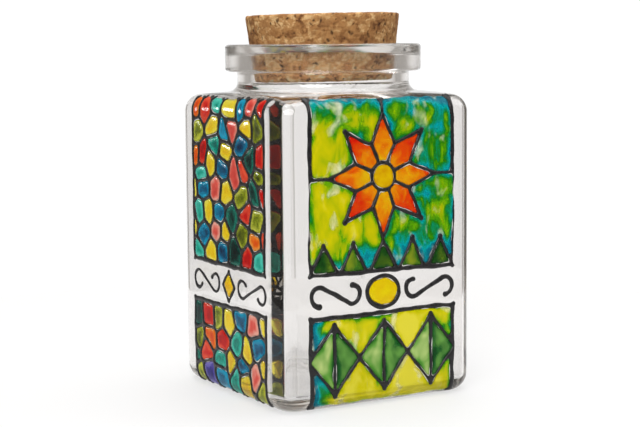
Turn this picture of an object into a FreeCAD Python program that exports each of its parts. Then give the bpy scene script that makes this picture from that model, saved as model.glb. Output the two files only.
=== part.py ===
"""Square glass storage jar with a cork stopper and two painted sides.

Millimetres, +Z up. The origin is the centre of the base, on the surface that the jar stands on.
The painted front faces -Y and the painted left side faces -X. The other two sides are bare glass.
"""

import FreeCAD, Part
import math
import os

import Sketcher

App = FreeCAD
Vector = App.Vector

doc = App.newDocument("square_cork_jar")

# Driving dimensions, in millimetres and degrees

DIMENSIONS = {
    # glass body
    "body_width": 80.0,
    "body_corner_radius": 9.5,
    "base_edge_radius": 6.5,
    "base_thickness": 4.8,
    "bearing_width": 6.5,
    "base_hollow_depth": 0.8,
    "wall_thickness": 4.2,
    "crown_height": 109.4,
    "crown_radius": 450.0,
    "crown_edge_radius": 6.3,
    "crown_thickness": 4.6,
    "cavity_corner_radius": 2.0,
    "cavity_floor_radius": 1.9,
    "cavity_ceiling_radius": 1.9,
    # neck and lip
    "neck_inset": 8.9,
    "neck_wall": 4.75,
    "neck_height": 5.9,
    "neck_root_radius": 3.5,
    "bore_root_radius": 2.2,
    "lip_overhang": 4.3,
    "lip_thickness": 9.65,
    "lip_edge_radius": 1.3,
    "lip_root_radius": 1.0,
    "mouth_flare": 3.4,
    "mouth_edge_radius": 1.8,
    # cork stopper
    "stopper_clearance": 0.25,
    "stopper_taper": 7.0,
    "stopper_rise": 10.7,
    "stopper_depth": 13.2,
    "stopper_edge_radius": 0.8,
    "stopper_lean": 0.95,
    "stopper_lean_bearing": -30.0,
    # painted panels, on the face that carries them
    "front_panel_margin": 10.3,
    "side_panel_margin": 12.2,
    "side_panel_shift": 1.15,
    "panel_top_drop": 3.2,
    "panel_foot_height": 1.6,
    "upper_panel_bottom": 46.2,
    "band_height": 12.8,
    # outline paste and glass paint
    "outline_height": 0.75,
    "outline_width": 1.3,
    "frame_width": 1.7,
    "paint_height": 0.3,
    # star, peaks and lozenges on the front
    "star_margin": 4.6,
    "star_gap": 0.6,
    "star_disc_radius": 4.7,
    "peak_height": 11.2,
    "lozenge_margin": 3.6,
    # ornament in the band between the panels
    "front_line_width": 1.7,
    "side_line_width": 1.1,
    "ornament_clearance": 0.15,
    "roundel_width": 14.8,
    "side_lozenge_width": 10.4,
    "scroll_radius": 3.1,
    "scroll_gap": 2.2,
    "front_scroll_sweep": 205.0,
    "side_scroll_sweep": 265.0,
    # mosaic of rounded stones on the left side
    "mosaic_jitter": 0.36,
    "mosaic_gap": 1.3,
    "stone_corner_radius": 1.2,
}

sheet = doc.addObject("Spreadsheet::Sheet", "Dimensions")
for row, (alias, number) in enumerate(DIMENSIONS.items(), start=1):
    sheet.set(f"A{row}", alias)
    sheet.set(f"B{row}", str(number))
    sheet.setAlias(f"B{row}", alias)
doc.recompute()


class Size:
    """A size worked out from the sheet: its expression for the document and its present value."""

    def __init__(self, text, value):
        self.text = text
        self.value = value

    @staticmethod
    def of(other):
        return other if isinstance(other, Size) else Size(str(other), float(other))

    def __add__(self, other):
        other = Size.of(other)
        return Size(f"({self.text} + {other.text})", self.value + other.value)

    def __sub__(self, other):
        other = Size.of(other)
        return Size(f"({self.text} - {other.text})", self.value - other.value)

    def __mul__(self, other):
        other = Size.of(other)
        return Size(f"({self.text} * {other.text})", self.value * other.value)

    def __truediv__(self, other):
        other = Size.of(other)
        return Size(f"({self.text} / {other.text})", self.value / other.value)


def cell(alias):
    """The size held by one cell of the sheet."""
    return Size(f"Dimensions.{alias}", float(sheet.get(alias)))


def root(size):
    return Size(f"sqrt({size.text})", math.sqrt(size.value))


def tangent(size):
    """Tangent of an angle that the sheet holds in degrees."""
    return Size(f"tan({size.text} * 1 deg)", math.tan(math.radians(size.value)))


NOTHING = Size("0", 0.0)

half_width = cell("body_width") / 2
ceiling = cell("crown_height") - cell("crown_thickness")
neck_radius = half_width - cell("neck_inset")
bore_radius = neck_radius - cell("neck_wall")
lip_radius = neck_radius + cell("lip_overhang")
lip_underside = cell("crown_height") + cell("neck_height")
lip_top = lip_underside + cell("lip_thickness")
# The mouth flares at 45 degrees; each of its roundings takes this much of the sides that it joins.
mouth_run = cell("mouth_edge_radius") * math.tan(math.radians(22.5))


# Sketches and features


def origin_plane(body, role):
    return next(f for f in body.Origin.OriginFeatures if f.Role == role)


def new_sketch(body, name, role, lift=NOTHING):
    """An empty sketch on one of the body's own origin planes, moved along the plane's normal by lift."""
    sketch = body.newObject("Sketcher::SketchObject", name)
    sketch.AttachmentSupport = (origin_plane(body, role), [""])
    sketch.MapMode = "FlatFace"
    sketch.AttachmentOffset = App.Placement(Vector(0, 0, lift.value), App.Rotation())
    sketch.setExpression("AttachmentOffset.Base.z", lift.text)
    return sketch


def drive(sketch, size, kind, *places):
    """A dimension of the sketch that follows the sheet."""
    index = sketch.addConstraint(Sketcher.Constraint(kind, *places, size.value))
    sketch.setExpression(f"Constraints[{index}]", size.text)


def place_point(sketch, geometry, point, x, y):
    """Ties one end of a line or arc to its two coordinates."""
    for size, kind, axis in ((x, "DistanceX", -2), (y, "DistanceY", -1)):
        if size is NOTHING:
            sketch.addConstraint(Sketcher.Constraint("PointOnObject", geometry, point, axis))
        else:
            drive(sketch, size, kind, -1, 1, geometry, point)


def arc_between(start, end, radius, left):
    """An arc from start to end that turns left or right, by less than half a circle."""
    chord = end - start
    middle = (start + end) * 0.5
    across = Vector(-chord.y, chord.x, 0).normalize()
    reach = math.sqrt(max(radius**2 - chord.Length**2 / 4, 0.0))
    side = 1 if left else -1
    centre = middle + across * (reach * side)
    bulge = centre - across * (radius * side)
    return Part.Arc(start, bulge, end)


def profile(body, name, role, corners, arcs=None, lift=NOTHING):
    """A closed outline through corners, each a pair of sizes. arcs gives, for the side that starts at a
    corner, its radius and whether it turns left."""
    arcs = arcs or {}
    sketch = new_sketch(body, name, role, lift)
    points = [Vector(x.value, y.value, 0) for x, y in corners]
    count = len(points)
    for i, start in enumerate(points):
        end = points[(i + 1) % count]
        if i in arcs:
            sketch.addGeometry(arc_between(start, end, arcs[i][0].value, arcs[i][1]))
        else:
            sketch.addGeometry(Part.LineSegment(start, end))
    # A right-turning arc is stored the other way round, so its ends change places.
    first = [2 if i in arcs and not arcs[i][1] else 1 for i in range(count)]
    for i in range(count):
        following = (i + 1) % count
        sketch.addConstraint(
            Sketcher.Constraint("Coincident", i, 3 - first[i], following, first[following])
        )
    for i, (x, y) in enumerate(corners):
        place_point(sketch, i, first[i], x, y)
    for i, (radius, _left) in arcs.items():
        drive(sketch, radius, "Radius", i)
    return sketch


def rounded_square(body, name, half, radius, lift):
    """A square outline with rounded corners, centred on the axis."""
    flat = half - radius
    minus_half = NOTHING - half
    minus_flat = NOTHING - flat
    corners = [
        (flat, minus_half),
        (half, minus_flat),
        (half, flat),
        (flat, half),
        (minus_flat, half),
        (minus_half, flat),
        (minus_half, minus_flat),
        (minus_flat, minus_half),
    ]
    arcs = {i: (radius, True) for i in range(0, 8, 2)}
    return profile(body, name, "XY_Plane", corners, arcs, lift)


def feature(body, kind, name, sketch):
    made = body.newObject(f"PartDesign::{kind}", name)
    made.Profile = sketch
    return made


def pad(body, name, sketch, length):
    made = feature(body, "Pad", name, sketch)
    made.setExpression("Length", length.text)
    doc.recompute()
    return made


def turned(body, kind, name, sketch):
    """A revolution or groove, a full turn about the sketch's upright axis."""
    made = feature(body, kind, name, sketch)
    made.ReferenceAxis = (sketch, ["V_Axis"])
    made.Angle = 360.0
    doc.recompute()
    return made


def rounded_edges(body, name, edges, radius):
    """A fillet on the edges given, which belong to the body's present shape."""
    base = body.Tip
    names = [
        f"Edge{i}"
        for i, edge in enumerate(base.Shape.Edges, start=1)
        if any(edge.isSame(wanted) for wanted in edges)
    ]
    made = body.newObject("PartDesign::Fillet", name)
    made.Base = (base, names)
    made.setExpression("Radius", radius.text)
    doc.recompute()
    return made


def faces_of(shape, surface):
    return [face for face in shape.Faces if isinstance(face.Surface, surface)]


def level_face(shape, height):
    """The flat face that lies level at the height given."""
    return next(
        face
        for face in faces_of(shape, Part.Plane)
        if abs(face.BoundBox.ZMin - height) < 1e-4 and abs(face.BoundBox.ZMax - height) < 1e-4
    )


def level_circles(shape, radius, height):
    return [
        edge
        for edge in shape.Edges
        if not edge.Degenerated
        and isinstance(edge.Curve, Part.Circle)
        and abs(edge.Curve.Radius - radius) < 1e-4
        and abs(edge.Curve.Center.z - height) < 1e-4
    ]


# Glass jar

DOME_REACH = 1.0  # share of the body's width out to which the dome's tool is drawn, past the corners


def square_block(name, growth):
    """The body's outer block: a rounded square with a domed crown, grown outwards by growth."""
    body = doc.addObject("PartDesign::Body", name)
    half = half_width + growth
    radius = cell("body_corner_radius") + growth
    foot = NOTHING - growth
    apex = cell("crown_height") + growth
    dome = cell("crown_radius") + growth
    reach = cell("body_width") * DOME_REACH
    dome_edge = apex - dome + root(dome * dome - reach * reach)
    above = apex + cell("wall_thickness")

    pad(body, name + "_pad", rounded_square(body, name + "_plan", half, radius, foot), above - foot)
    tool = profile(
        body,
        name + "_dome_profile",
        "XZ_Plane",
        [(NOTHING, apex), (NOTHING, above), (reach, above), (reach, dome_edge)],
        {3: (dome, True)},
    )
    turned(body, "Groove", name + "_dome", tool)
    crown = faces_of(body.Tip.Shape, Part.Sphere)[0]
    rounded_edges(body, name + "_crown_edge", crown.Edges, cell("crown_edge_radius") + growth)
    under = level_face(body.Tip.Shape, foot.value)
    rounded_edges(body, name + "_base_edge", under.Edges, cell("base_edge_radius") + growth)
    return body


def glass_outside():
    """The whole outside of the glass: block, hollow under the base, neck and lip."""
    body = square_block("glass_outside", NOTHING)
    hollow_radius = half_width - cell("base_edge_radius") - cell("bearing_width")
    hollow_depth = cell("base_hollow_depth")
    bowl = (hollow_radius * hollow_radius + hollow_depth * hollow_depth) / (hollow_depth * 2)
    hollow = profile(
        body,
        "base_hollow_profile",
        "XZ_Plane",
        [(NOTHING, NOTHING), (hollow_radius, NOTHING), (NOTHING, hollow_depth)],
        {1: (bowl, True)},
    )
    turned(body, "Groove", "base_hollow", hollow)

    finish = profile(
        body,
        "neck_profile",
        "XZ_Plane",
        [
            (NOTHING, ceiling),
            (neck_radius, ceiling),
            (neck_radius, lip_underside),
            (lip_radius, lip_underside),
            (lip_radius, lip_top),
            (NOTHING, lip_top),
        ],
    )
    turned(body, "Revolution", "neck_and_lip", finish)
    crown = faces_of(body.Tip.Shape, Part.Sphere)
    necks = [
        face
        for face in faces_of(body.Tip.Shape, Part.Cylinder)
        if abs(face.Surface.Radius - neck_radius.value) < 1e-4
    ]
    roots = [
        edge
        for edge in necks[0].Edges
        if any(edge.isSame(other) for face in crown for other in face.Edges)
    ]
    rounded_edges(body, "neck_root", roots, cell("neck_root_radius"))
    lip_corner = level_circles(body.Tip.Shape, neck_radius.value, lip_underside.value)
    rounded_edges(body, "lip_root", lip_corner, cell("lip_root_radius"))
    rims = [
        edge
        for height in (lip_underside, lip_top)
        for edge in level_circles(body.Tip.Shape, lip_radius.value, height.value)
    ]
    rounded_edges(body, "lip_edges", rims, cell("lip_edge_radius"))
    return body


def glass_inside():
    """The hollow of the jar: a rounded square room under a round bore that flares at both ends."""
    body = doc.addObject("PartDesign::Body", "glass_inside")
    wall = cell("wall_thickness")
    floor = cell("base_thickness")
    plan = rounded_square(body, "room_plan", half_width - wall, cell("cavity_corner_radius"), floor)
    pad(body, "room", plan, ceiling - floor)
    for name, height in (("floor", floor), ("ceiling", ceiling)):
        face = level_face(body.Tip.Shape, height.value)
        rounded_edges(body, f"room_{name}_edge", face.Edges, cell(f"cavity_{name}_radius"))

    root_radius = cell("bore_root_radius")
    flare = cell("mouth_flare")
    edge = cell("mouth_edge_radius")
    slant = mouth_run * math.sqrt(0.5)
    clear = lip_top + cell("lip_edge_radius")
    bore_profile = profile(
        body,
        "bore_profile",
        "XZ_Plane",
        [
            (NOTHING, floor + cell("cavity_floor_radius")),
            (bore_radius, floor + cell("cavity_floor_radius")),
            (bore_radius + root_radius, ceiling),
            (bore_radius, ceiling + root_radius),
            (bore_radius, lip_top - flare - mouth_run),
            (bore_radius + slant, lip_top - flare + slant),
            (bore_radius + flare - slant, lip_top - slant),
            (bore_radius + flare + mouth_run, lip_top),
            (bore_radius + flare + mouth_run, clear),
            (NOTHING, clear),
        ],
        {2: (root_radius, False), 4: (edge, False), 6: (edge, False)},
    )
    turned(body, "Revolution", "bore", bore_profile)
    return body


def boolean(kind, name, base, tool):
    made = doc.addObject(f"Part::{kind}", name)
    made.Base = base
    made.Tool = tool
    made.Label = name
    return made


subparts = []
glass_jar = boolean("Cut", "glass_jar", glass_outside(), glass_inside())
subparts.append(glass_jar)


# Cork stopper, which wedges in the mouth and leans a little to one side


def cork_stopper():
    """A tapered plug drawn about the middle of the mouth, then set down there with its lean.
    It comes closest to the glass at the foot of the flare."""
    body = doc.addObject("PartDesign::Body", "cork_stopper")
    slope = tangent(cell("stopper_taper"))
    seat = bore_radius - cell("stopper_clearance") + slope * (cell("mouth_flare") + mouth_run)
    rise = cell("stopper_rise")
    depth = cell("stopper_depth")
    outline = profile(
        body,
        "stopper_profile",
        "XZ_Plane",
        [
            (NOTHING, NOTHING - depth),
            (seat - slope * depth, NOTHING - depth),
            (seat + slope * rise, rise),
            (NOTHING, rise),
        ],
    )
    turned(body, "Revolution", "stopper_turned", outline)
    rims = [edge for face in faces_of(body.Tip.Shape, Part.Plane) for edge in face.Edges]
    rounded_edges(body, "stopper_edges", rims, cell("stopper_edge_radius"))
    bearing = math.radians(cell("stopper_lean_bearing").value)
    lean_axis = Vector(math.sin(bearing), -math.cos(bearing), 0)
    lean = cell("stopper_lean")
    body.Placement = App.Placement(Vector(0, 0, lip_top.value), App.Rotation(lean_axis, lean.value))
    body.setExpression("Placement.Base.z", lip_top.text)
    body.setExpression("Placement.Rotation.Angle", f"{lean.text} * 1 deg")
    return body


subparts.append(cork_stopper())


# Painted decoration: outline paste standing on the glass, and paint flooded between its lines.
# It is drawn flat on each face, across and up, and wraps over the crown and base edges.

mm = {alias: float(sheet.get(alias)) for alias in DIMENSIONS}

PRISM_INSIDE = mm["crown_edge_radius"] + mm["base_edge_radius"]
PRISM_OUTSIDE = mm["outline_height"] + 1.0
UPRIGHT = App.Rotation(Vector(1, 0, 0), 90)
FACES = {
    "front": App.Placement(Vector(0, 0, 0), UPRIGHT),
    "side": App.Placement(
        Vector(0, -mm["side_panel_shift"], 0), App.Rotation(Vector(0, 0, 1), -90) * UPRIGHT
    ),
}


# Closed skins all over the glass block, from which the painted shapes are cut.
bare_block = square_block("bare_block", NOTHING)
outline_block = square_block("outline_block", cell("outline_height"))
outline_skin = boolean("Cut", "outline_skin", outline_block, bare_block)
paint_block = square_block("paint_block", cell("paint_height"))
paint_skin = boolean("Cut", "paint_skin", paint_block, bare_block)

# The panels' edges, across from the middle of the face and up from the base.
front_half = mm["body_width"] / 2 - mm["front_panel_margin"]
side_half = mm["body_width"] / 2 - mm["side_panel_margin"]
upper_top = mm["crown_height"] - mm["panel_top_drop"]
upper_bottom = mm["upper_panel_bottom"]
lower_top = upper_bottom - mm["band_height"]
lower_bottom = mm["panel_foot_height"]


def painted(label, face, skin, flats):
    """One node of the decoration: flat shapes on a face, given the thickness of their skin."""
    prism = doc.addObject("Part::Feature", label + "_plan")
    near = mm["body_width"] / 2 - PRISM_INSIDE
    deep = PRISM_INSIDE + PRISM_OUTSIDE
    solids = []
    for flat in flats:
        raised = flat.copy()
        raised.translate(Vector(0, 0, near))
        solids.append(raised.extrude(Vector(0, 0, deep)))
    prism.Shape = Part.makeCompound(solids)
    prism.Placement = FACES[face]
    subparts.append(boolean("Common", label, skin, prism))


# Flat shapes


def rounded_wire(corners, radius):
    """A closed outline through corners, each rounded as far as its two sides allow."""
    count = len(corners)
    joins = []
    for i, corner in enumerate(corners):
        before = corners[i - 1] - corner
        after = corners[(i + 1) % count] - corner
        half_angle = before.getAngle(after) / 2
        cut = min(radius / math.tan(half_angle), 0.45 * before.Length, 0.45 * after.Length)
        enter = corner + before.normalize() * cut
        leave = corner + after.normalize() * cut
        inward = (before + after).normalize()
        arc_radius = cut * math.tan(half_angle)
        top = corner + inward * (arc_radius / math.sin(half_angle) - arc_radius)
        joins.append((enter, top, leave))
    edges = []
    for i, (enter, top, leave) in enumerate(joins):
        edges.append(Part.Arc(enter, top, leave).toShape())
        edges.append(Part.LineSegment(leave, joins[(i + 1) % count][0]).toShape())
    return Part.Wire(edges)


def inset(corners, distances):
    """The corners moved inwards, each side by its own distance. The corners run anticlockwise."""
    count = len(corners)
    lines = []
    for i, corner in enumerate(corners):
        along = (corners[(i + 1) % count] - corner).normalize()
        inward = Vector(-along.y, along.x, 0)
        lines.append((corner + inward * distances[i], along))
    moved = []
    for i, (point, along) in enumerate(lines):
        other, direction = lines[i - 1]
        turn = direction.x * along.y - direction.y * along.x
        gap = point - other
        reach = (gap.x * along.y - gap.y * along.x) / turn
        moved.append(other + direction * reach)
    return moved


def pane(corners, margin, radius):
    """One field of paint, held clear of its outline's centre line by margin."""
    margins = margin if isinstance(margin, list) else [margin] * len(corners)
    return Part.Face(rounded_wire(inset(corners, margins), radius))


def polygon_face(corners):
    return Part.Face(Part.makePolygon([*corners, corners[0]]))


def disc(centre, radius):
    return Part.Face(Part.Wire(Part.Circle(centre, Vector(0, 0, 1), radius).toShape()))


def oval(centre, wide, tall):
    """A flat oval of those half sizes."""
    if abs(wide - tall) < 1e-6:
        return disc(centre, wide)
    along, beside = Vector(wide, 0, 0), Vector(0, tall, 0)
    if wide < tall:
        along, beside = beside, Vector(-wide, 0, 0)
    return Part.Face(Part.Wire(Part.Ellipse(centre + along, centre + beside, centre).toShape()))


def rectangle(left, right, bottom, top):
    return [Vector(left, bottom, 0), Vector(right, bottom, 0), Vector(right, top, 0), Vector(left, top, 0)]


def stroke(edges, width):
    """A line of outline paste along edges, with round ends."""
    return Part.Face(Part.Wire(edges).makeOffset2D(width / 2, join=0, openResult=False))


def whole(faces):
    """The separate faces of a flat cut, as a list."""
    return list(faces.Faces)


def s_scroll(centre, length, radius, sweep, mirrored):
    """An S of two hooks on equal circles, joined by the line that crosses between them."""
    spacing = length - 2 * radius
    lean = math.acos(2 * radius / spacing)
    turn = math.radians(sweep)
    side = -1 if mirrored else 1

    def at(hub, angle):
        point = Vector(hub + radius * math.cos(angle), radius * math.sin(angle), 0)
        return centre + Vector(side * point.x, point.y, 0)

    left, right = -spacing / 2, spacing / 2
    hook = [at(left, lean + turn * k) for k in (1.0, 0.5, 0.0)]
    curl = [at(right, lean + math.pi + turn * k) for k in (0.0, 0.5, 1.0)]
    return [
        Part.Arc(*hook).toShape(),
        Part.LineSegment(hook[-1], curl[0]).toShape(),
        Part.Arc(*curl).toShape(),
    ]


line = mm["outline_width"]
half_line = line / 2
frame_line = mm["frame_width"]
ZERO = Vector(0, 0, 0)


# Front, upper panel: a star of eight equal lozenges on a streaked ground, over a row of peaks

STAR_POINTS = 8
PEAKS = 5


def front_upper_panel():
    half, bottom, top = front_half, upper_bottom, upper_top
    apex = bottom + mm["peak_height"]
    # The star fills the room between the peaks, the crown and the sides.
    star_top = top - mm["star_margin"]
    star_foot = apex + mm["star_gap"]
    star_radius = min((star_top - star_foot) / 2, half - mm["star_margin"])
    centre = Vector(0, (star_top + star_foot) / 2, 0)
    step = 2 * math.pi / STAR_POINTS

    def at(bearing, distance):
        return centre + Vector(math.sin(bearing), math.cos(bearing), 0) * distance

    tips = [at(i * step, star_radius) for i in range(STAR_POINTS)]
    inner = star_radius / (2 * math.cos(step / 2))
    valleys = [at((i + 0.5) * step, inner) for i in range(STAR_POINTS)]
    hub = disc(centre, mm["star_disc_radius"] + half_line)
    points = [
        pane([centre, valleys[i], tips[i], valleys[i - 1]], half_line, half_line / 2).cut(hub)
        for i in range(STAR_POINTS)
    ]
    heart = [disc(centre, mm["star_disc_radius"] - half_line)]

    wide = 2 * half / PEAKS
    peaks = []
    for i in range(PEAKS):
        left = Vector(-half + i * wide, bottom, 0)
        right = left + Vector(wide, 0, 0)
        peak = Vector((left.x + right.x) / 2, apex, 0)
        peaks.append(pane([left, right, peak], [frame_line, half_line, half_line], half_line / 2))

    # The ground's right-hand fields, above and below the star's right tip. The left ones mirror them.
    quarter = STAR_POINTS // 4
    upper = [Vector(0, top, 0), tips[0]]
    lower = [Vector(half, centre.y, 0), tips[quarter]]
    for i in range(quarter):
        upper += [valleys[i], tips[i + 1]]
        lower += [valleys[quarter + i], tips[quarter + i + 1]]
    upper += [Vector(half, centre.y, 0), Vector(half, top, 0)]
    for i in range(PEAKS // 2 + 1):
        lower += [Vector(i * wide, apex, 0), Vector((i + 0.5) * wide, bottom, 0)]

    def margin(start, end):
        if start.y == top and end.y == top:
            return 0.0
        return frame_line if start.x == end.x == half else half_line

    grounds = []
    for field in (upper, lower):
        margins = [margin(start, field[(i + 1) % len(field)]) for i, start in enumerate(field)]
        grounds.append(pane(field, margins, half_line))
    mirrored = [ground.mirror(ZERO, Vector(1, 0, 0)) for ground in grounds]

    cells = [*points, *heart, *peaks, *grounds, *mirrored]
    web = polygon_face(rectangle(-half, half, bottom, top)).cut(Part.makeCompound(cells))
    painted("front_upper_outline", "front", outline_skin, whole(web))
    painted("star_orange_paint", "front", paint_skin, points[0::2])
    painted("star_red_paint", "front", paint_skin, points[1::2])
    painted("star_heart_paint", "front", paint_skin, heart)
    painted("star_ground_green_paint", "front", paint_skin, grounds)
    painted("star_ground_lime_paint", "front", paint_skin, mirrored)
    painted("peak_dark_paint", "front", paint_skin, peaks[0::2])
    painted("peak_light_paint", "front", paint_skin, peaks[1::2])


front_upper_panel()


# Front, lower panel: a row of split lozenges on a yellow ground

LOZENGES = 3


def front_lower_panel():
    half, bottom, top = front_half, lower_bottom, lower_top
    middle = (bottom + top) / 2
    tall = (top - bottom) / 2 - mm["lozenge_margin"]
    step = 2 * half / LOZENGES
    light, dark = [], []
    east, west = Vector(half, middle, 0), Vector(-half, middle, 0)
    upper = [east, Vector(half, top, 0), Vector(-half, top, 0), west]
    lower = [west, Vector(-half, bottom, 0), Vector(half, bottom, 0), east]
    for i in range(LOZENGES):
        left = Vector(-half + i * step, middle, 0)
        right = Vector(left.x + step, middle, 0)
        up = Vector(left.x + step / 2, middle + tall, 0)
        down = Vector(left.x + step / 2, middle - tall, 0)
        light.append(pane([down, up, left], half_line, half_line / 2))
        dark.append(pane([down, right, up], half_line, half_line / 2))
        upper.append(up)
        lower.insert(4, down)
        if i < LOZENGES - 1:
            upper.append(right)
            lower.insert(4, right)
    upper_margins = [frame_line, frame_line, frame_line] + [half_line] * (2 * LOZENGES)
    lower_margins = [frame_line, 0.0, frame_line] + [half_line] * (2 * LOZENGES)
    grounds = [pane(upper, upper_margins, half_line), pane(lower, lower_margins, half_line)]
    web = polygon_face(rectangle(-half, half, bottom, top)).cut(Part.makeCompound([*light, *dark, *grounds]))
    painted("front_lower_outline", "front", outline_skin, whole(web))
    painted("lozenge_light_paint", "front", paint_skin, light)
    painted("lozenge_dark_paint", "front", paint_skin, dark)
    painted("lozenge_ground_paint", "front", paint_skin, grounds)


front_lower_panel()


# Ornament between the panels: a roundel on the front, a lozenge on the side, a scroll on each flank

band_middle = Vector(0, (upper_bottom + lower_top) / 2, 0)
ornament_half_height = mm["band_height"] / 2 - mm["ornament_clearance"]


def scrolls(panel_half, ornament_half, sweep, bold):
    """A pair of scrolls that fill the clear glass between the ornament and the panel's ends."""
    start = ornament_half + mm["scroll_gap"]
    length = panel_half - bold / 2 - start
    faces = []
    for side in (-1, 1):
        centre = band_middle + Vector(side * (start + length / 2), 0, 0)
        faces.append(stroke(s_scroll(centre, length, mm["scroll_radius"], sweep, side > 0), bold))
    return faces


def front_ornament():
    bold = mm["front_line_width"]
    wide, tall = mm["roundel_width"] / 2, ornament_half_height
    field = oval(band_middle, wide - bold, tall - bold)
    ring = oval(band_middle, wide, tall).cut(field)
    flanks = scrolls(front_half, wide, mm["front_scroll_sweep"], bold)
    painted("front_scroll_outline", "front", outline_skin, [*whole(ring), *flanks])
    painted("roundel_paint", "front", paint_skin, [field])


front_ornament()


def side_ornament():
    bold = mm["side_line_width"]
    wide = mm["side_lozenge_width"] / 2
    tall = ornament_half_height
    corners = [
        band_middle + Vector(0, -tall, 0),
        band_middle + Vector(wide, 0, 0),
        band_middle + Vector(0, tall, 0),
        band_middle + Vector(-wide, 0, 0),
    ]
    field = pane(corners, bold, half_line)
    border = pane(corners, 0.0, half_line).cut(field)
    flanks = scrolls(side_half, wide, mm["side_scroll_sweep"], bold)
    painted("side_scroll_outline", "side", outline_skin, [*whole(border), *flanks])
    painted("side_lozenge_paint", "side", paint_skin, [field])


side_ornament()


# Left side: a mosaic of rounded stones, each nearest to its own seed

MOSAIC_COLUMNS = 6
MOSAIC_ROWS = {"upper": 8, "lower": 4}
MOSAIC_COLOURS = ("yellow", "red", "blue", "olive", "turquoise", "coral", "pine", "orange", "violet")
# How often each colour turns up, in the same order.
MOSAIC_SHARES = (0.2, 0.17, 0.15, 0.13, 0.12, 0.09, 0.08, 0.04, 0.02)
GOLDEN = (math.sqrt(5) - 1) / 2
SILVER = math.sqrt(2) - 1


def scatter(number, step):
    """A number from -1 to 1 that looks random and repeats each run."""
    return 2 * ((number * number * step) % 1.0) - 1


def seeds(panel_half, bottom, top, rows, first):
    """Seeds on staggered rows, each moved off its place by up to a share of the spacing."""
    wide = 2 * panel_half / MOSAIC_COLUMNS
    tall = (top - bottom) / rows
    placed = []
    for row in range(rows):
        for column in range(MOSAIC_COLUMNS + row % 2):
            number = first + len(placed)
            across = column + 0.5 - 0.5 * (row % 2) + mm["mosaic_jitter"] * scatter(number, GOLDEN)
            up = row + 0.5 + mm["mosaic_jitter"] * scatter(number, SILVER)
            placed.append(Vector(across * wide - panel_half, bottom + up * tall, 0))
    return placed


def clipped(corners, point, inward):
    """The part of a convex outline on the inward side of a line through point."""
    kept = []
    for i, corner in enumerate(corners):
        following = corners[(i + 1) % len(corners)]
        here = (corner - point).dot(inward)
        there = (following - point).dot(inward)
        if here >= 0:
            kept.append(corner)
        if here * there < 0:
            kept.append(corner + (following - corner) * (here / (here - there)))
    return kept


def tidy(corners, least):
    """The corners without those that almost coincide."""
    return [c for i, c in enumerate(corners) if (c - corners[i - 1]).Length > least]


def stones(placed, border):
    """One rounded field for each seed: the part of the border nearer to it than to any other seed."""
    fields = []
    for seed in placed:
        corners = border
        for other in placed:
            if other is not seed:
                inward = (seed - other).normalize()
                middle = (seed + other) * 0.5
                corners = clipped(corners, middle + inward * (mm["mosaic_gap"] / 2), inward)
        corners = tidy(corners, half_line / 2) if len(corners) > 2 else []
        fields.append(corners if len(corners) > 2 else None)
    return fields


def mosaic_colour(number):
    """The colour of one stone, drawn in turn so that the shares come out right."""
    draw = (number * GOLDEN * GOLDEN + 0.37) % 1.0
    for colour, share in zip(MOSAIC_COLOURS, MOSAIC_SHARES):
        if draw < share:
            return colour
        draw -= share
    return MOSAIC_COLOURS[0]


def mosaic():
    half = side_half
    by_colour = {colour: [] for colour in MOSAIC_COLOURS}
    number = 0
    for name, bottom, top in (
        ("upper", upper_bottom, upper_top),
        ("lower", lower_bottom, lower_top),
    ):
        # The outline is open where the panel runs over the crown or under the base edge.
        low = bottom + (frame_line if name == "upper" else 0.0)
        high = top - (frame_line if name == "lower" else 0.0)
        border = rectangle(-half + line, half - line, low, high)
        placed = seeds(half - line, low, high, MOSAIC_ROWS[name], number)
        fields = []
        for corners in stones(placed, border):
            number += 1
            if corners:
                field = Part.Face(rounded_wire(corners, mm["stone_corner_radius"]))
                fields.append(field)
                by_colour[mosaic_colour(number)].append(field)
        web = polygon_face(rectangle(-half, half, bottom, top)).cut(Part.makeCompound(fields))
        painted(f"side_{name}_outline", "side", outline_skin, whole(web))
    for colour, fields in by_colour.items():
        if fields:
            painted(f"mosaic_{colour}_paint", "side", paint_skin, fields)


mosaic()


# Build, check and write every sub-part

doc.recompute()

for made in doc.Objects:
    if "Invalid" in made.State or "Error" in made.State:
        raise RuntimeError(f"{made.Label} did not build: {made.State}")
for subpart in subparts:
    if subpart.Shape.isNull() or not subpart.Shape.isValid() or not subpart.Shape.Solids:
        raise RuntimeError(f"{subpart.Label} is not a valid solid")

os.makedirs("parts", exist_ok=True)
for subpart in subparts:
    subpart.Shape.exportStep(f"parts/{subpart.Label}.step")
    volume = sum(solid.Volume for solid in subpart.Shape.Solids) / 1000
    print(f"{subpart.Label}: {len(subpart.Shape.Solids)} solids, {volume:.2f} cm3")
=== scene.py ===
import math
import random

import bmesh
import bpy
import numpy as np
from mathutils import Matrix, Vector, bvhtree, geometry, kdtree, noise


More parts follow.
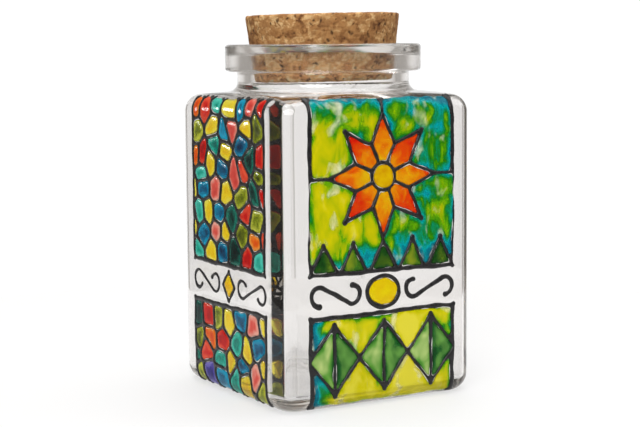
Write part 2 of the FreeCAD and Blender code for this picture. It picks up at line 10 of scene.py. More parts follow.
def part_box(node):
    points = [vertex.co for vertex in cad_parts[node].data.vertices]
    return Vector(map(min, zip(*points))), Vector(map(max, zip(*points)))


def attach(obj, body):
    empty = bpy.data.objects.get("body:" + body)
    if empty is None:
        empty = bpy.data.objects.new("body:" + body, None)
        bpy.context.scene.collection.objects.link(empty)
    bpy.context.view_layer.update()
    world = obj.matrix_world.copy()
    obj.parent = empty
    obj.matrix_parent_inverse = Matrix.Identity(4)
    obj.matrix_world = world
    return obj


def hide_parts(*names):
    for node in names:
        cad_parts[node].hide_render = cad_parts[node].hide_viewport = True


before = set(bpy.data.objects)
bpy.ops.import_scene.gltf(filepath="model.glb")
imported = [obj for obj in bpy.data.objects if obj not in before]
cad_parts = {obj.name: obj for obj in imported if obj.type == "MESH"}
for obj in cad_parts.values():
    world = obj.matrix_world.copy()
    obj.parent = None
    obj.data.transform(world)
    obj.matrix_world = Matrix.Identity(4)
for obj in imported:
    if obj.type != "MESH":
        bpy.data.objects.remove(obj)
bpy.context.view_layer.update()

# Glass jar. Square body, domed crown, neck and flat lip are one moulding of clear soda glass.
# It is formed in a mould, so the walls are thick, a little wavy, and rounded at every edge.
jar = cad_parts["glass_jar"]
body_tint = (0.945, 0.935, 0.93, 1.0)
lip_tint = (0.985, 0.967, 0.955, 1.0)
tint_from, tint_to = 0.109, 0.113
milky_from, milky_to = 0.1145, 0.1165
smear_roughness, lip_roughness = 0.02, 0.11
wave_height = 0.0008
inner_tint, inner_density = (0.78, 0.76, 0.73, 1.0), 24.0


def start_finish(name):
    """An empty finish, with its node tree and its main shader."""
    finish = bpy.data.materials.new(name)
    finish.use_nodes = True
    return finish, finish.node_tree, finish.node_tree.nodes["Principled BSDF"]


def add(tree, kind, inputs, **settings):
    """One node of a finish. An input is a plain value or another node's socket."""
    made = tree.nodes.new(kind)
    for key, value in settings.items():
        setattr(made, key, value)
    for key, value in inputs.items():
        if isinstance(value, bpy.types.NodeSocket):
            tree.links.new(value, made.inputs[key])
        else:
            made.inputs[key].default_value = value
    return made


def place(tree, stretch=(1.0, 1.0, 1.0)):
    """Where a point lies on its piece, in metres, stretched along the jar's own axes."""
    spot = add(tree, "ShaderNodeTexCoord", {}).outputs["Object"]
    return add(tree, "ShaderNodeMapping", {"Vector": spot, "Scale": stretch}).outputs["Vector"]


def cloud(tree, where, scale, detail=2.0, roughness=0.5, distortion=0.0):
    """Soft noise from 0 to 1, with scale waves to the metre."""
    inputs = {
        "Vector": where,
        "Scale": scale,
        "Detail": detail,
        "Roughness": roughness,
        "Distortion": distortion,
    }
    return add(tree, "ShaderNodeTexNoise", inputs).outputs["Fac"]


def spread(tree, factor, low, high, to_low, to_high):
    """Takes the span low to high of a factor to another span, and holds it at the ends."""
    inputs = {"Value": factor, "From Min": low, "From Max": high, "To Min": to_low, "To Max": to_high}
    return add(tree, "ShaderNodeMapRange", inputs).outputs["Result"]


def run_of(tree, factor, *stops):
    """Colour along a run of stops, each (place, colour)."""
    ramp = add(tree, "ShaderNodeValToRGB", {"Fac": factor})
    while len(ramp.color_ramp.elements) < len(stops):
        ramp.color_ramp.elements.new(0.5)
    for element, (at, colour) in zip(ramp.color_ramp.elements, stops):
        element.position = at
        element.color = colour
    return ramp.outputs["Color"]


clear_glass, tree, shader = start_finish("clear_glass")
shader.inputs["Transmission Weight"].default_value = 1.0
shader.inputs["IOR"].default_value = 1.5
tall = add(tree, "ShaderNodeSeparateXYZ", {0: place(tree)}).outputs["Z"]
towards_lip = spread(tree, tall, tint_from, tint_to, 0.0, 1.0)
tree.links.new(run_of(tree, towards_lip, (0.0, body_tint), (1.0, lip_tint)), shader.inputs["Base Color"])
smears = spread(tree, cloud(tree, place(tree), 60.0, 4.0), 0.5, 0.8, 0.0, smear_roughness)
milky_lip = spread(tree, tall, milky_from, milky_to, 0.0, lip_roughness)
rough = add(tree, "ShaderNodeMath", {0: smears, 1: milky_lip}, operation="ADD").outputs[0]
tree.links.new(rough, shader.inputs["Roughness"])
waves = cloud(tree, place(tree, (1.0, 1.0, 0.6)), 70.0, 1.0)
wavy = add(tree, "ShaderNodeBump", {"Height": waves, "Strength": 0.12, "Distance": wave_height})
tree.links.new(wavy.outputs["Normal"], shader.inputs["Normal"])
thickness = add(tree, "ShaderNodeVolumeAbsorption", {"Color": inner_tint, "Density": inner_density})
tree.links.new(thickness.outputs["Volume"], tree.nodes["Material Output"].inputs["Volume"])
jar.data.materials[0] = clear_glass

# Outline paste. Black relief paste is squeezed out of a nozzle onto the clean glass by hand.
# It dries to a raised, slightly glossy bead that wavers in line, width and height.
FRONT = (Vector((1.0, 0.0, 0.0)), Vector((0.0, -1.0, 0.0)))
SIDE = (Vector((0.0, -1.0, 0.0)), Vector((-1.0, 0.0, 0.0)))
bead_step = 0.00029
bead_rounding = 0.00072
edge_waves = 260
bead_sway, bead_layer = 0.0003, 1.3
bead_full, bead_swell = 0.86, 0.14
swell_waves, swell_layer = 160, 5.2
bead_bed = -0.00003
stroke_end, end_turn, end_span = 0.0011, 0.7, 0.9
# The drift of the hand, slow and quick: waves to the metre, layer of the noise, and how far it goes.
hand_drift = ((75, 3.7, 0.00055), (210, 8.1, 0.00025))
noise.seed_set(5)
glass_skin = bvhtree.BVHTree.FromPolygons(
    [v.co for v in jar.data.vertices], [tuple(p.vertices) for p in jar.data.polygons]
)


def on_glass(wall, u, v, lift):
    """The point over the glass at u along the wall and v above the table."""
    across, outward = wall
    clear_of_jar = 0.1
    start = across * u + outward * clear_of_jar
    start.z = v
    spot, normal, _, _ = glass_skin.ray_cast(start, -outward)
    return spot + normal * lift


def waver(u, v, waves, layer):
    """Smooth chance from -1 to 1 along a wall, with so many waves to the metre."""
    return noise.noise(Vector((u * waves, v * waves, layer)))


def traced(node, wall):
    """The closed outlines of a node on its wall, as (u, v) points. Solid lies to the left of each."""
    across, outward = wall
    same_point, looks_out = 2e-6, 0.3
    solid = bmesh.new()
    solid.from_mesh(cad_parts[node].data)
    bmesh.ops.remove_doubles(solid, verts=solid.verts, dist=same_point)
    solid.normal_update()
    steps = set()
    for face in solid.faces:
        if face.normal.dot(outward) > looks_out:
            corners = [v.index for v in face.verts]
            steps.update(zip(corners, corners[1:] + corners[:1]))
    points = [(v.co.dot(across), v.co.z) for v in solid.verts]
    solid.free()
    rim = {}
    for a, b in steps:
        if (b, a) not in steps:
            rim.setdefault(a, []).append(b)
    loops = []
    for first in sorted(rim):
        while rim.get(first):
            loop = [first]
            while rim.get(loop[-1]):
                loop.append(rim[loop[-1]].pop())
                if loop[-1] == first:
                    break
            if len(loop) > 3:
                loops.append([points[i] for i in loop[:-1]])
    return loops


def hand_drawn(loop, step, soft, blob, shift, sway, layer):
    """A loop in even steps, with soft corners, blobs where a line ends, and the drift of the hand."""
    line = np.array(loop + loop[:1])
    run = np.concatenate([[0.0], np.cumsum(np.hypot(*np.diff(line, axis=0).T))])
    count = max(12, int(round(run[-1] / step)))
    at = np.linspace(0.0, run[-1], count, endpoint=False)
    line = np.stack([np.interp(at, run, line[:, 0]), np.interp(at, run, line[:, 1])], axis=1)
    for _ in range(max(1, int(round(2 * (soft / step) ** 2)))):
        line = (np.roll(line, 1, axis=0) + 2 * line + np.roll(line, -1, axis=0)) / 4
    along = np.roll(line, -1, axis=0) - np.roll(line, 1, axis=0)
    along /= np.maximum(np.hypot(*along.T), 1e-9)[:, None]
    reach = max(1, int(round(stroke_end / step)))
    before, after = np.roll(along, reach, axis=0), np.roll(along, -reach, axis=0)
    crossed = before[:, 0] * after[:, 1] - before[:, 1] * after[:, 0]
    turn = np.arctan2(crossed, np.sum(before * after, axis=1))
    end = np.clip((turn - end_turn) / end_span, 0.0, 1.0)
    for _ in range(4):
        end = (np.roll(end, 1) + 2 * end + np.roll(end, -1)) / 4
    drawn = []
    for (u, v), (du, dv), at_end in zip(line, along, end):
        push = shift + sway * waver(u, v, edge_waves, layer) + blob * at_end
        drift = Vector()
        for waves, drift_layer, far in hand_drift:
            drift += noise.noise_vector(Vector((u * waves, v * waves, drift_layer))) * far
        drawn.append((u + dv * push + drift.x, v - du * push + drift.y))
    return drawn


def within(loops, points):
    """Which of the points lie inside the loops, a loop inside another being a hole."""
    batch = 400
    starts = np.concatenate([np.array(loop) for loop in loops])
    ends = np.concatenate([np.roll(np.array(loop), -1, axis=0) for loop in loops])
    found = np.zeros(len(points), bool)
    for i in range(0, len(points), batch):
        u, v = points[i:i + batch, 0:1], points[i:i + batch, 1:2]
        spans = (starts[:, 1] > v) != (ends[:, 1] > v)
        rise = np.where(ends[:, 1] == starts[:, 1], 1.0, ends[:, 1] - starts[:, 1])
        crossing = starts[:, 0] + (v - starts[:, 1]) / rise * (ends[:, 0] - starts[:, 0])
        found[i:i + batch] = (np.sum(spans & (crossing > u), axis=1) % 2) == 1
    return found


def filled(loops, step):
    """Points and even triangles that fill the loops, and how deep each point lies inside them."""
    row_height, clear_of_edge = step * 0.866, step * 0.6
    edge = np.concatenate([np.array(loop) for loop in loops])
    links = []
    for loop in loops:
        first = len(links)
        links += [(first + i, first + (i + 1) % len(loop)) for i in range(len(loop))]
    near = kdtree.KDTree(len(edge))
    for i, (u, v) in enumerate(edge):
        near.insert((u, v, 0.0), i)
    near.balance()
    low, high = edge.min(axis=0), edge.max(axis=0)
    rows = []
    for k, v in enumerate(np.arange(low[1] + step * 0.4, high[1], row_height)):
        u = np.arange(low[0] + step * (0.3 + 0.5 * (k % 2)), high[0], step)
        rows.append(np.stack([u, np.full(len(u), v)], axis=1))
    inner = np.concatenate(rows) if rows else np.zeros((0, 2))
    inner = inner[within(loops, inner)]
    inner = np.array([p for p in inner if near.find((p[0], p[1], 0.0))[2] > clear_of_edge]).reshape(-1, 2)
    points = np.concatenate([edge, inner])
    net = geometry.delaunay_2d_cdt([Vector(p) for p in points], links, [], 0, 1e-9)
    points = np.array([tuple(p) for p in net[0]])
    on_edge = np.array([any(i < len(edge) for i in origin) or not origin for origin in net[3]])
    triangles = np.array(net[2])
    sure = ~on_edge[triangles].all(axis=1)
    keep = sure.copy()
    keep[~sure] = within(loops, points[triangles[~sure]].mean(axis=1))
    depth = np.array([0.0 if rim else near.find((p[0], p[1], 0.0))[2] for p, rim in zip(points, on_edge)])
    return points, triangles[keep], depth


def shell(points, triangles, wall, tops, bottom):
    """Vertices and faces of a closed layer on the glass, between the lift bottom and the lifts tops."""
    count = len(points)
    vertices = [on_glass(wall, u, v, lift) for (u, v), lift in zip(points, tops)]
    vertices += [on_glass(wall, u, v, bottom) for u, v in points]
    faces = [tuple(t) for t in triangles] + [(c + count, b + count, a + count) for a, b, c in triangles]
    steps = set()
    for a, b, c in triangles:
        steps.update(((a, b), (b, c), (c, a)))
    faces += [(b, a, a + count, b + count) for a, b in steps if (b, a) not in steps]
    return vertices, faces


def new_piece(name, vertices, faces, finish):
    """A smooth piece with its finish, without the points that no face uses."""
    mesh = bpy.data.meshes.new(name)
    mesh.from_pydata(vertices, [], faces)
    used = bmesh.new()
    used.from_mesh(mesh)
    bmesh.ops.delete(used, geom=[v for v in used.verts if not v.link_faces], context="VERTS")
    used.to_mesh(mesh)
    used.free()
    mesh.shade_smooth()
    mesh.materials.append(finish)
    piece = bpy.data.objects.new(name, mesh)
    bpy.context.scene.collection.objects.link(piece)
    return piece


def shade(red, green, blue):
    """A colour as a paint chart gives it, 0 to 255, turned into light."""
    return tuple(
        c / 255 / 12.92 if c <= 10 else ((c / 255 + 0.055) / 1.055) ** 2.4 for c in (red, green, blue)
    ) + (1.0,)


black_paste, tree, shader = start_finish("outline_paste")
shader.inputs["Specular IOR Level"].default_value = 0.34
film_marks = cloud(tree, place(tree), 900.0, 3.0)
tree.links.new(spread(tree, film_marks, 0.3, 0.7, 0.2, 0.42), shader.inputs["Roughness"])
worn = cloud(tree, place(tree), 420.0, 3.0)
paste_colour = run_of(tree, worn, (0.35, shade(14, 13, 15)), (0.8, shade(36, 34, 36)))
tree.links.new(paste_colour, shader.inputs["Base Color"])
lumps = add(tree, "ShaderNodeBump", {"Height": film_marks, "Strength": 0.15, "Distance": 0.0001})
tree.links.new(lumps.outputs["Normal"], shader.inputs["Normal"])

for node, wall, soft, blob, lean, height in (
    ("front_upper_outline", FRONT, 0.0003, 0.0006, -0.00006, 0.00068),
    ("front_lower_outline", FRONT, 0.0003, 0.0006, -0.00006, 0.00068),
    ("front_scroll_outline", FRONT, 0.0003, 0.0003, -0.00004, 0.00068),
    ("side_upper_outline", SIDE, 0.0005, 0.0006, -0.00004, 0.00056),
    ("side_lower_outline", SIDE, 0.0005, 0.0006, -0.00004, 0.00056),
    ("side_scroll_outline", SIDE, 0.0003, 0.0003, 0.0, 0.00056),
):
    lines = [
        hand_drawn(loop, bead_step, soft, blob, lean, bead_sway, bead_layer) for loop in traced(node, wall)
    ]
    points, triangles, depth = filled(lines, bead_step)
    inwards = 1.0 - np.minimum(depth / bead_rounding, 1.0)
    swell = np.array([bead_full + bead_swell * waver(u, v, swell_waves, swell_layer) for u, v in points])
    tops = height * swell * np.sqrt(np.maximum(0.0, 1.0 - inwards ** 2))
    vertices, faces = shell(points, triangles, wall, tops, bead_bed)
    bead = new_piece(node + "_bead", vertices, faces, black_paste)
    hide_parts(node)
    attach(bead, "jar")

# Front paint. Glass paint is brushed thinly into the cells between the beads and left to level.
# It is a coloured varnish bonded to the glass: light goes through it, and thin strokes stay pale.
paint_step = 0.00055
paint_bed = -0.00002
brush_sway = 0.00045
brush_full, brush_marks, brush_waves = 0.9, 0.1, 300
front_soft, front_spill = 0.0003, 0.0001
# A coat of paint: its thickness at the edge, in the middle, and how far in from the edge it levels.
cell_coat = (0.00008, 0.00028, 0.0016)
ground_coat = (0.00006, 0.00022, 0.0022)
roundel_coat = (0.0001, 0.0003, 0.002)


def paint_film(node, wall, finish, soft, spill, coat, seed):
    """The paint of one node: every cell gets its own film, with its depth and tone kept for the finish."""
    thin, thick, level = coat
    chance = random.Random(seed)
    vertices, faces, depths, tones = [], [], [], []
    for loop in traced(node, wall):
        line = hand_drawn(loop, paint_step, soft, 0.0, spill, brush_sway, seed * 1.7)
        points, triangles, depth = filled([line], paint_step)
        if len(triangles) == 0:
            continue
        inwards = 1.0 - np.minimum(depth / level, 1.0)
        rise = np.sqrt(np.maximum(0.0, 1.0 - inwards ** 2))
        brush = np.array([brush_full + brush_marks * waver(u, v, brush_waves, seed) for u, v in points])
        tops = thin + (thick - thin) * rise * brush
        first = len(vertices)
        cell_vertices, cell_faces = shell(points, triangles, wall, tops, paint_bed)
        vertices += cell_vertices
        faces += [tuple(i + first for i in face) for face in cell_faces]
        depths += list(1.0 - inwards) * 2
        tones += [chance.random()] * (2 * len(points))
    used = np.zeros(len(vertices), bool)
    used[np.unique(np.concatenate([np.array(face) for face in faces]))] = True
    film = new_piece(node + "_film", vertices, faces, finish)
    film.data.attributes.new("depth", "FLOAT", "POINT").data.foreach_set("value", np.array(depths)[used])
    film.data.attributes.new("tone", "FLOAT", "POINT").data.foreach_set("value", np.array(tones)[used])
    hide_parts(node)
    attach(film, "jar")
    return film


def kept(tree, name):
    """A value that was kept for the finish at each point of a piece."""
    return add(tree, "ShaderNodeAttribute", {}, attribute_name=name).outputs["Fac"]


def sum_of(tree, *terms):
    """Several factors, each with its share, added up."""
    total = None
    for factor, share in terms:
        part = add(tree, "ShaderNodeMath", {0: factor, 1: share}, operation="MULTIPLY").outputs[0]
        if total is not None:
            part = add(tree, "ShaderNodeMath", {0: total, 1: part}, operation="ADD").outputs[0]
        total = part
    return total


def over(tree, share, below, above):
    """One colour laid over another."""
    return add(tree, "ShaderNodeMix", {0: share, 6: below, 7: above}, data_type="RGBA").outputs[2]


def varnish(tree, shader, through, gloss):
    """The gloss and the see-through that all the glass paints share."""
    shader.inputs["Transmission Weight"].default_value = through
    shader.inputs["IOR"].default_value = 1.25
    shader.inputs["Specular IOR Level"].default_value = gloss
    dust = cloud(tree, place(tree), 500.0, 3.0)
    tree.links.new(spread(tree, dust, 0.3, 0.75, 0.04, 0.22), shader.inputs["Roughness"])
    ripple = cloud(tree, place(tree), 330.0, 2.0)
    skin = add(tree, "ShaderNodeBump", {"Height": ripple, "Strength": 0.3, "Distance": 0.00012})
    tree.links.new(skin.outputs["Normal"], shader.inputs["Normal"])


heart_low, heart_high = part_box("star_heart_paint")
heart = (heart_low + heart_high) / 2
heart_rim, star_tip = 0.004, 0.022

for node, inner, middle, outer, seed in (
    ("star_orange_paint", shade(255, 214, 8), shade(255, 160, 0), shade(248, 76, 0), 3),
    ("star_red_paint", shade(255, 170, 2), shade(250, 86, 0), shade(236, 22, 0), 4),
):
    finish, tree, shader = start_finish(node)
    spot = add(tree, "ShaderNodeTexCoord", {}).outputs["Object"]
    reach = add(tree, "ShaderNodeVectorMath", {0: spot, 1: tuple(heart)}, operation="DISTANCE")
    outwards = spread(tree, reach.outputs["Value"], heart_rim, star_tip, 0.0, 1.0)
    strokes = cloud(tree, place(tree), 190.0, 4.0, 0.6, 0.8)
    mix = sum_of(tree, (outwards, 0.6), (strokes, 0.9), (kept(tree, "tone"), 0.15))
    colour = run_of(tree, mix, (0.48, inner), (0.74, middle), (1.0, outer))
    pinholes = spread(tree, cloud(tree, place(tree), 1500.0, 0.0), 0.8, 0.84, 0.0, 0.6)
    tree.links.new(over(tree, pinholes, colour, shade(255, 226, 190)), shader.inputs["Base Color"])
    varnish(tree, shader, 0.8, 0.03)
    paint_film(node, FRONT, finish, front_soft, front_spill, cell_coat, seed)

finish, tree, shader = start_finish("star_heart_paint")
grain = cloud(tree, place(tree), 300.0, 3.0)
colour = run_of(tree, grain, (0.3, shade(230, 170, 0)), (0.7, shade(252, 218, 2)))
tree.links.new(colour, shader.inputs["Base Color"])
varnish(tree, shader, 0.55, 0.05)
paint_film("star_heart_paint", FRONT, finish, front_soft, front_spill, cell_coat, 5)

# The ground turns to teal at the top and foot of the star's panel and at the right of both panels.
# In the lozenge row it does so at the left too.
top_from, top_to = 0.098, 0.106
foot_from, foot_to = 0.058, 0.048
right_from, right_to = 0.019, 0.028
left_from, left_to = -0.019, -0.027
for node, bias, edge_share, top_share, left_share, seed in (
    ("star_ground_lime_paint", 0.15, 0.18, 0.36, 0.0, 6),
    ("star_ground_green_paint", 0.0, 0.24, 0.34, 0.0, 7),
    ("lozenge_ground_paint", 0.47, 0.34, 0.0, 0.8, 8),
):
    finish, tree, shader = start_finish(node)
    spot = add(tree, "ShaderNodeSeparateXYZ", {0: place(tree)})
    strokes = cloud(tree, place(tree, (1.0, 1.0, 0.55)), 140.0, 3.0, 0.55, 0.9)
    patches = cloud(tree, place(tree), 60.0, 2.0, 0.5, 0.8)
    bare = cloud(tree, place(tree, (1.0, 1.0, 0.7)), 190.0, 2.0, 0.45, 0.5)
    rim = spread(tree, kept(tree, "depth"), 0.0, 1.0, 1.0, 0.0)
    high = spread(tree, spot.outputs["Z"], top_from, top_to, 0.0, 1.0)
    low = spread(tree, spot.outputs["Z"], foot_from, foot_to, 0.0, 0.8)
    right = spread(tree, spot.outputs["X"], right_from, right_to, 0.0, 0.35)
    left = spread(tree, spot.outputs["X"], left_from, left_to, 0.0, 1.0)
    mix = sum_of(
        tree, (strokes, 1.2), (patches, 0.8), (rim, -edge_share), (high, -top_share), (low, -top_share),
        (right, -0.5), (left, -left_share),
    )
    mix = add(tree, "ShaderNodeMath", {0: mix, 1: 0.5 - bias}, operation="SUBTRACT").outputs[0]
    colour = run_of(
        tree, mix, (0.0, shade(0, 128, 150)), (0.16, shade(0, 180, 184)), (0.28, shade(8, 162, 112)),
        (0.38, shade(26, 142, 8)), (0.5, shade(118, 190, 0)), (0.66, shade(206, 212, 0)),
        (0.84, shade(234, 226, 0)), (1.0, shade(250, 240, 66)),
    )
    thin_spots = spread(tree, bare, 0.57, 0.8, 0.0, 1.0)
    tree.links.new(over(tree, thin_spots, colour, shade(250, 255, 220)), shader.inputs["Base Color"])
    varnish(tree, shader, 0.7, 0.05)
    tree.links.new(spread(tree, thin_spots, 0.0, 1.0, 0.66, 1.0), shader.inputs["Transmission Weight"])
    paint_film(node, FRONT, finish, front_soft, front_spill, ground_coat, seed)

for node, dark, middle, light, seed in (
    ("peak_dark_paint", shade(8, 44, 14), shade(30, 84, 26), shade(110, 140, 30), 9),
    ("peak_light_paint", shade(20, 76, 20), shade(66, 122, 30), shade(176, 184, 40), 10),
    ("lozenge_light_paint", shade(26, 104, 34), shade(104, 172, 66), shade(208, 230, 144), 11),
    ("lozenge_dark_paint", shade(4, 48, 20), shade(26, 100, 36), shade(116, 176, 80), 12),
):
    finish, tree, shader = start_finish(node)
    strokes = cloud(tree, place(tree, (1.0, 1.0, 0.7)), 150.0, 2.0, 0.5, 0.4)
    mix = sum_of(tree, (strokes, 1.0), (kept(tree, "tone"), 0.15), (kept(tree, "depth"), 0.14))
    colour = run_of(tree, mix, (0.42, dark), (0.6, middle), (0.86, light))
    tree.links.new(colour, shader.inputs["Base Color"])
    varnish(tree, shader, 0.5, 0.05)
    paint_film(node, FRONT, finish, front_soft, front_spill, cell_coat, seed)

finish, tree, shader = start_finish("roundel_paint")
grain = cloud(tree, place(tree), 260.0, 3.0, 0.5, 0.8)
colour = run_of(tree, grain, (0.3, shade(248, 208, 0)), (0.7, shade(255, 238, 2)))
tree.links.new(colour, shader.inputs["Base Color"])
varnish(tree, shader, 0.82, 0.03)
paint_film("roundel_paint", FRONT, finish, front_soft, front_spill, roundel_coat, 13)

# Side paint. Each stone of the mosaic is a drop of paint run into its cell between the beads.
# The drop stands up in the middle, where it is darker, and goes thin and pale at its edge.
side_soft, side_spill = 0.0005, 0.00003
stone_coat = (0.00006, 0.0003, 0.0022)
stones = bpy.data.collections.new("stones")
for node, deep, full, pale, through, seed in (
    ("mosaic_yellow_paint", shade(246, 196, 0), shade(255, 224, 0), shade(255, 244, 90), 0.8, 21),
    ("mosaic_red_paint", shade(172, 6, 8), shade(214, 20, 14), shade(242, 92, 60), 0.45, 22),
    ("mosaic_blue_paint", shade(0, 46, 82), shade(0, 108, 150), shade(14, 174, 212), 0.6, 23),
    ("mosaic_olive_paint", shade(56, 64, 0), shade(128, 142, 0), shade(206, 212, 70), 0.6, 24),
    ("mosaic_turquoise_paint", shade(0, 108, 98), shade(0, 170, 146), shade(90, 222, 200), 0.6, 25),
    ("mosaic_coral_paint", shade(212, 60, 52), shade(238, 96, 82), shade(254, 184, 164), 0.5, 26),
    ("mosaic_pine_paint", shade(0, 26, 24), shade(2, 56, 48), shade(30, 128, 108), 0.55, 27),
    ("mosaic_orange_paint", shade(220, 62, 0), shade(244, 104, 4), shade(252, 168, 60), 0.5, 28),
    ("mosaic_violet_paint", shade(30, 22, 110), shade(62, 52, 160), shade(140, 130, 214), 0.55, 29),
    ("side_lozenge_paint", shade(246, 172, 0), shade(255, 202, 0), shade(255, 222, 20), 0.75, 30),
):
    finish, tree, shader = start_finish(node)
    clouds = cloud(tree, place(tree), 200.0, 3.0, 0.5, 0.4)
    mix = sum_of(tree, (kept(tree, "depth"), -0.45), (clouds, 1.0), (kept(tree, "tone"), 0.3))
    colour = run_of(tree, spread(tree, mix, -0.1, 0.75, 0.0, 1.0), (0.12, deep), (0.46, full), (0.88, pale))
    tree.links.new(colour, shader.inputs["Base Color"])
    varnish(tree, shader, through, 0.04)
    stones.objects.link(paint_film(node, SIDE, finish, side_soft, side_spill, stone_coat, seed))

# Cork stopper. Ground cork granules are pressed with glue into a block, then turned to a taper.
# Turning opens granules and tears some out, so the face has flakes, pits and a chipped rim.
turned_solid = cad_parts["cork_stopper"]
cork_step = 0.00042
turning_cut = 0.00006
# Coarse and fine granules: size, share of the colour, and how deep the groove around each is.
granule_kinds = ((0.0031, 0.6, 0.00009), (0.0015, 0.4, 0.00005))
granule_layer, granule_squash = 0.7, 1.4
granule_bend, bend_waves = 0.0009, 420
seam_share, level_tone = 0.2, 0.6
top_rim, low_rim, foot_height = 0.0012, 0.0022, 0.0032
flank_radius = 0.0225
top_chip, low_chip, chip_waves, chip_more = 0.00045, 0.0016, 300, 0.1
foot_notch, notch_waves, notch_more = 0.0038, 230, 0.06
pit_count = 560
pit_lengths, pit_widths, pit_depths = (0.0004, 0.0013), (0.00025, 0.00055), (0.00015, 0.0005)
# Heights over which the cork inside the glass neck is painted lighter: painted light that makes up for the
# shade the lip and crown cast on it.
painted_light_from, painted_light_to = 0.1142, 0.1238

cork_blank = bpy.data.objects.new("cork_blank", turned_solid.data.copy())
bpy.context.scene.collection.objects.link(cork_blank)
even = cork_blank.modifiers.new("even_mesh", "REMESH")
even.mode = "VOXEL"
even.voxel_size = cork_step
bpy.context.view_layer.update()
cork_mesh = bpy.data.meshes.new_from_object(cork_blank.evaluated_get(bpy.context.evaluated_depsgraph_get()))
bpy.data.objects.remove(cork_blank)
cork_mesh.name = "turned_cork"
cork_mesh.materials.clear()
count = len(cork_mesh.vertices)
spots = np.zeros(count * 3)
cork_mesh.vertices.foreach_get("co", spots)
spots = spots.reshape(-1, 3)
outs = np.zeros(count * 3)
cork_mesh.vertex_normals.foreach_get("vector", outs)
outs = outs.reshape(-1, 3)
top_faces = [p for p in turned_solid.data.polygons if p.normal.z > 0.95]
stand = sum((p.normal * p.area for p in top_faces), Vector()).normalized()
along_stand = spots @ np.array(stand)
from_line = spots - spots.mean(axis=0)
from_line -= np.outer(from_line @ np.array(stand), np.array(stand))
out_from_line = np.hypot(np.hypot(from_line[:, 0], from_line[:, 1]), from_line[:, 2])

chance = random.Random(41)
low, high = spots.min(axis=0), spots.max(axis=0)
tone = np.zeros(count)
seam = np.zeros(count)
sink = np.full(count, turning_cut)
for grain, share, groove in granule_kinds:
    granules = []
    for x in np.arange(low[0] - grain, high[0] + grain, grain):
        for y in np.arange(low[1] - grain, high[1] + grain, grain):
            for z in np.arange(low[2] - grain, high[2] + grain, grain * granule_layer):
                nudge = [chance.uniform(-0.5, 0.5) * grain for _ in range(3)]
                height = (z + nudge[2] * granule_layer) * granule_squash
                granules.append((x + nudge[0], y + nudge[1], height))
    heap = kdtree.KDTree(len(granules))
    for i, spot in enumerate(granules):
        heap.insert(spot, i)
    heap.balance()
    granule_tone = [chance.random() for _ in granules]
    for i, spot in enumerate(spots):
        bent = Vector(spot) + noise.noise_vector(Vector(spot) * bend_waves) * granule_bend
        bent.z *= granule_squash
        (_, first, reach), (_, _, second) = heap.find_n(bent, 2)
        between = max(0.0, 1.0 - (second - reach) / (grain * seam_share))
        tone[i] += share * granule_tone[first]
        seam[i] += share * between
        sink[i] += groove * (between + granule_tone[first] - level_tone)
near_top = np.clip(1.0 - (along_stand.max() - along_stand) / top_rim, 0.0, 1.0)
near_low = np.clip(1.0 - (along_stand - along_stand.min()) / low_rim, 0.0, 1.0)
foot = np.clip(1.0 - (along_stand - along_stand.min()) / foot_height, 0.0, 1.0)
lift = np.zeros(count)
for i, spot in enumerate(spots):
    if out_from_line[i] > flank_radius and (near_top[i] > 0 or foot[i] > 0):
        torn = max(0.0, noise.noise(Vector(spot) * chip_waves) + chip_more)
        sink[i] += torn * (top_chip * near_top[i] + low_chip * near_low[i])
        notch = max(0.0, noise.noise(Vector((spot[0], spot[1], 0.0)) * notch_waves) + notch_more)
        lift[i] = foot[i] * foot_notch * notch
around = kdtree.KDTree(count)
for i, spot in enumerate(spots):
    around.insert(spot, i)
around.balance()
pit = np.zeros(count)
for _ in range(pit_count):
    centre = chance.randrange(count)
    out = Vector(outs[centre])
    aim = Vector((chance.uniform(-1, 1), chance.uniform(-1, 1), chance.uniform(-0.6, 0.6)))
    along = out.cross(aim).normalized()
    beside = out.cross(along)
    long, wide = chance.uniform(*pit_lengths), chance.uniform(*pit_widths)
    deep = chance.uniform(*pit_depths)
    for spot, i, _ in around.find_range(Vector(spots[centre]), long):
        way = spot - Vector(spots[centre])
        away = (way.dot(along) / long) ** 2 + (way.dot(beside) / wide) ** 2
        if away < 1.0:
            pit[i] = max(pit[i], (1.0 - away) ** 0.7)
            sink[i] = max(sink[i], deep * (1.0 - away))
spots += np.outer(lift, np.array(stand)) - outs * np.maximum(sink, 0.0)[:, None]
cork_mesh.vertices.foreach_set("co", spots.ravel())
for name, values in (("tone", tone), ("seam", seam), ("pit", pit)):
    cork_mesh.attributes.new(name, "FLOAT", "POINT").data.foreach_set("value", values)
cork_mesh.shade_smooth()

cork_finish, tree, shader = start_finish("cork")
flakes = cloud(tree, place(tree), 1100.0, 4.0, 0.6)
fibres = cloud(tree, place(tree, (0.5, 0.5, 1.6)), 420.0, 3.0, 0.6, 1.0)
mix = sum_of(tree, (kept(tree, "tone"), 0.56), (flakes, 0.4), (fibres, 0.4))
# The cork's own colour, as it shows above the lip.
cork_colour_above = run_of(
    tree, mix, (0.36, shade(98, 60, 32)), (0.57, shade(160, 112, 66)), (0.75, shade(184, 136, 84)),
    (0.95, shade(228, 190, 136)),
)
# A lighter copy of the cork's colour: painted light for the part in the shade of the glass neck.
painted_light_colour = run_of(
    tree, mix, (0.36, shade(134, 84, 46)), (0.57, shade(226, 162, 100)), (0.75, shade(248, 196, 130)),
    (0.95, shade(255, 242, 198)),
)
tall = add(tree, "ShaderNodeSeparateXYZ", {0: place(tree)}).outputs["Z"]
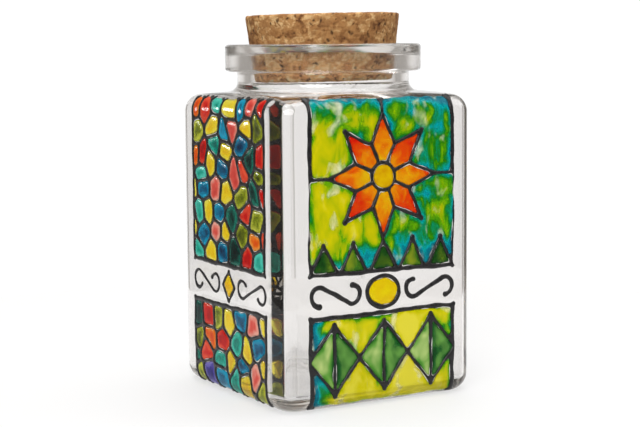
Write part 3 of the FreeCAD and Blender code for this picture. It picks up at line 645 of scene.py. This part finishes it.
# Towards the foot the lighter copy takes over, so the cork inside the neck carries painted light.
painted_light_share = spread(tree, tall, painted_light_from, painted_light_to, 1.0, 0.0)
body = over(tree, painted_light_share, cork_colour_above, painted_light_colour)
dark = sum_of(tree, (kept(tree, "pit"), 0.9), (kept(tree, "seam"), 0.3))
tree.links.new(over(tree, dark, body, shade(58, 34, 20)), shader.inputs["Base Color"])
tree.links.new(spread(tree, flakes, 0.3, 0.7, 0.75, 0.95), shader.inputs["Roughness"])
shader.inputs["Specular IOR Level"].default_value = 0.25
crumb = add(tree, "ShaderNodeBump", {"Height": flakes, "Strength": 0.5, "Distance": 0.0002})
tree.links.new(crumb.outputs["Normal"], shader.inputs["Normal"])
cork_mesh.materials.append(cork_finish)
cork = bpy.data.objects.new("turned_cork", cork_mesh)
bpy.context.scene.collection.objects.link(cork)
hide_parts("cork_stopper")
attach(cork, "stopper")

# Studio. A plain pale round table stands in a soft grey room with a white wall behind it.
# Three large soft lamps light the jar, and a small fourth one gives the side paint its glints.
# The camera stands where the jar shows its painted front and a foreshortened left side.
yaw, pitch, roll = math.radians(-30.35), math.radians(6.2), math.radians(-0.47)
aim_right, aim_height, camera_distance = -0.001505, 0.06319, 0.5679
image_width, focal_pixels = 640, 1550
sensor_width = 36.0
table_radius = 0.26
side_from, wall_from = 0.8, 0.965
side_light, wall_light = 0.4, 1.03
side_colour, wall_colour = (1.0, 0.96, 0.91, 1.0), (1.0, 1.0, 1.0, 1.0)

back = Vector((math.sin(yaw) * math.cos(pitch), -math.cos(yaw) * math.cos(pitch), math.sin(pitch)))
right = Vector((math.cos(yaw), math.sin(yaw), 0.0))
up = back.cross(right)
eye = right * aim_right + Vector((0.0, 0.0, aim_height)) + back * camera_distance
image_right = right * math.cos(roll) + up * math.sin(roll)
image_up = up * math.cos(roll) - right * math.sin(roll)
camera = bpy.data.objects.new("camera", bpy.data.cameras.new("camera"))
camera.data.sensor_fit = "HORIZONTAL"
camera.data.sensor_width = sensor_width
camera.data.lens = sensor_width * focal_pixels / image_width
camera.data.clip_start = 0.01
camera.matrix_world = Matrix.Translation(eye) @ Matrix((image_right, image_up, back)).transposed().to_4x4()
bpy.context.scene.collection.objects.link(camera)
bpy.context.scene.camera = camera

table_top = bmesh.new()
bmesh.ops.create_circle(table_top, cap_ends=True, segments=128, radius=table_radius)
table_mesh = bpy.data.meshes.new("table_top")
table_top.to_mesh(table_mesh)
table_top.free()
table_finish, tree, shader = start_finish("pale_table")
shader.inputs["Base Color"].default_value = (0.3, 0.3, 0.3, 1.0)
shader.inputs["Roughness"].default_value = 0.7
shader.inputs["Emission Color"].default_value = (1.0, 1.0, 1.0, 1.0)
shader.inputs["Emission Strength"].default_value = 0.58
table_mesh.materials.append(table_finish)
table = bpy.data.objects.new("table_top", table_mesh)
bpy.context.scene.collection.objects.link(table)

room = bpy.data.worlds.new("grey_room")
room.use_nodes = True
tree = room.node_tree
way = add(tree, "ShaderNodeTexCoord", {}).outputs["Generated"]
facing = add(tree, "ShaderNodeVectorMath", {0: way, 1: tuple(-back)}, operation="DOT_PRODUCT")
towards_wall = facing.outputs["Value"]
room_light = spread(tree, towards_wall, side_from, wall_from, side_light, wall_light)
tree.links.new(room_light, tree.nodes["Background"].inputs["Strength"])
room_colour = run_of(tree, towards_wall, (side_from, side_colour), (wall_from, wall_colour))
tree.links.new(room_colour, tree.nodes["Background"].inputs["Color"])
bpy.context.scene.world = room


def lamp(name, spot, aim, width, power):
    """A soft round lamp at spot, turned to aim."""
    light = bpy.data.lights.new(name, "AREA")
    light.shape = "DISK"
    light.size = width
    light.energy = power
    made = bpy.data.objects.new(name, light)
    made.location = spot
    made.rotation_mode = "QUATERNION"
    made.rotation_quaternion = (Vector(aim) - Vector(spot)).to_track_quat("-Z", "Y")
    bpy.context.scene.collection.objects.link(made)
    return made


lamp("overhead_lamp", (0.05, 0.1, 1.0), (0.05, 0.1, 0.0), 1.0, 7.0)
lamp("front_lamp", (-0.7, -0.8, 0.75), (0.0, 0.0, 0.06), 0.9, 11.5)
lamp("right_lamp", (0.95, -0.25, 0.8), (0.0, 0.0, 0.06), 1.0, 4.0)
glints = lamp("glint_lamp", (-0.5, 0.85, 0.15), (-0.04, 0.0, 0.07), 0.14, 1.3)
glints.light_linking.receiver_collection = stones
glints.visible_camera = False
glints.visible_diffuse = False
glints.visible_transmission = False
bpy.context.scene.view_settings.view_transform = "Standard"
bpy.context.scene.cycles.max_bounces = 32
bpy.context.scene.cycles.transmission_bounces = 32
bpy.context.scene.cycles.glossy_bounces = 16
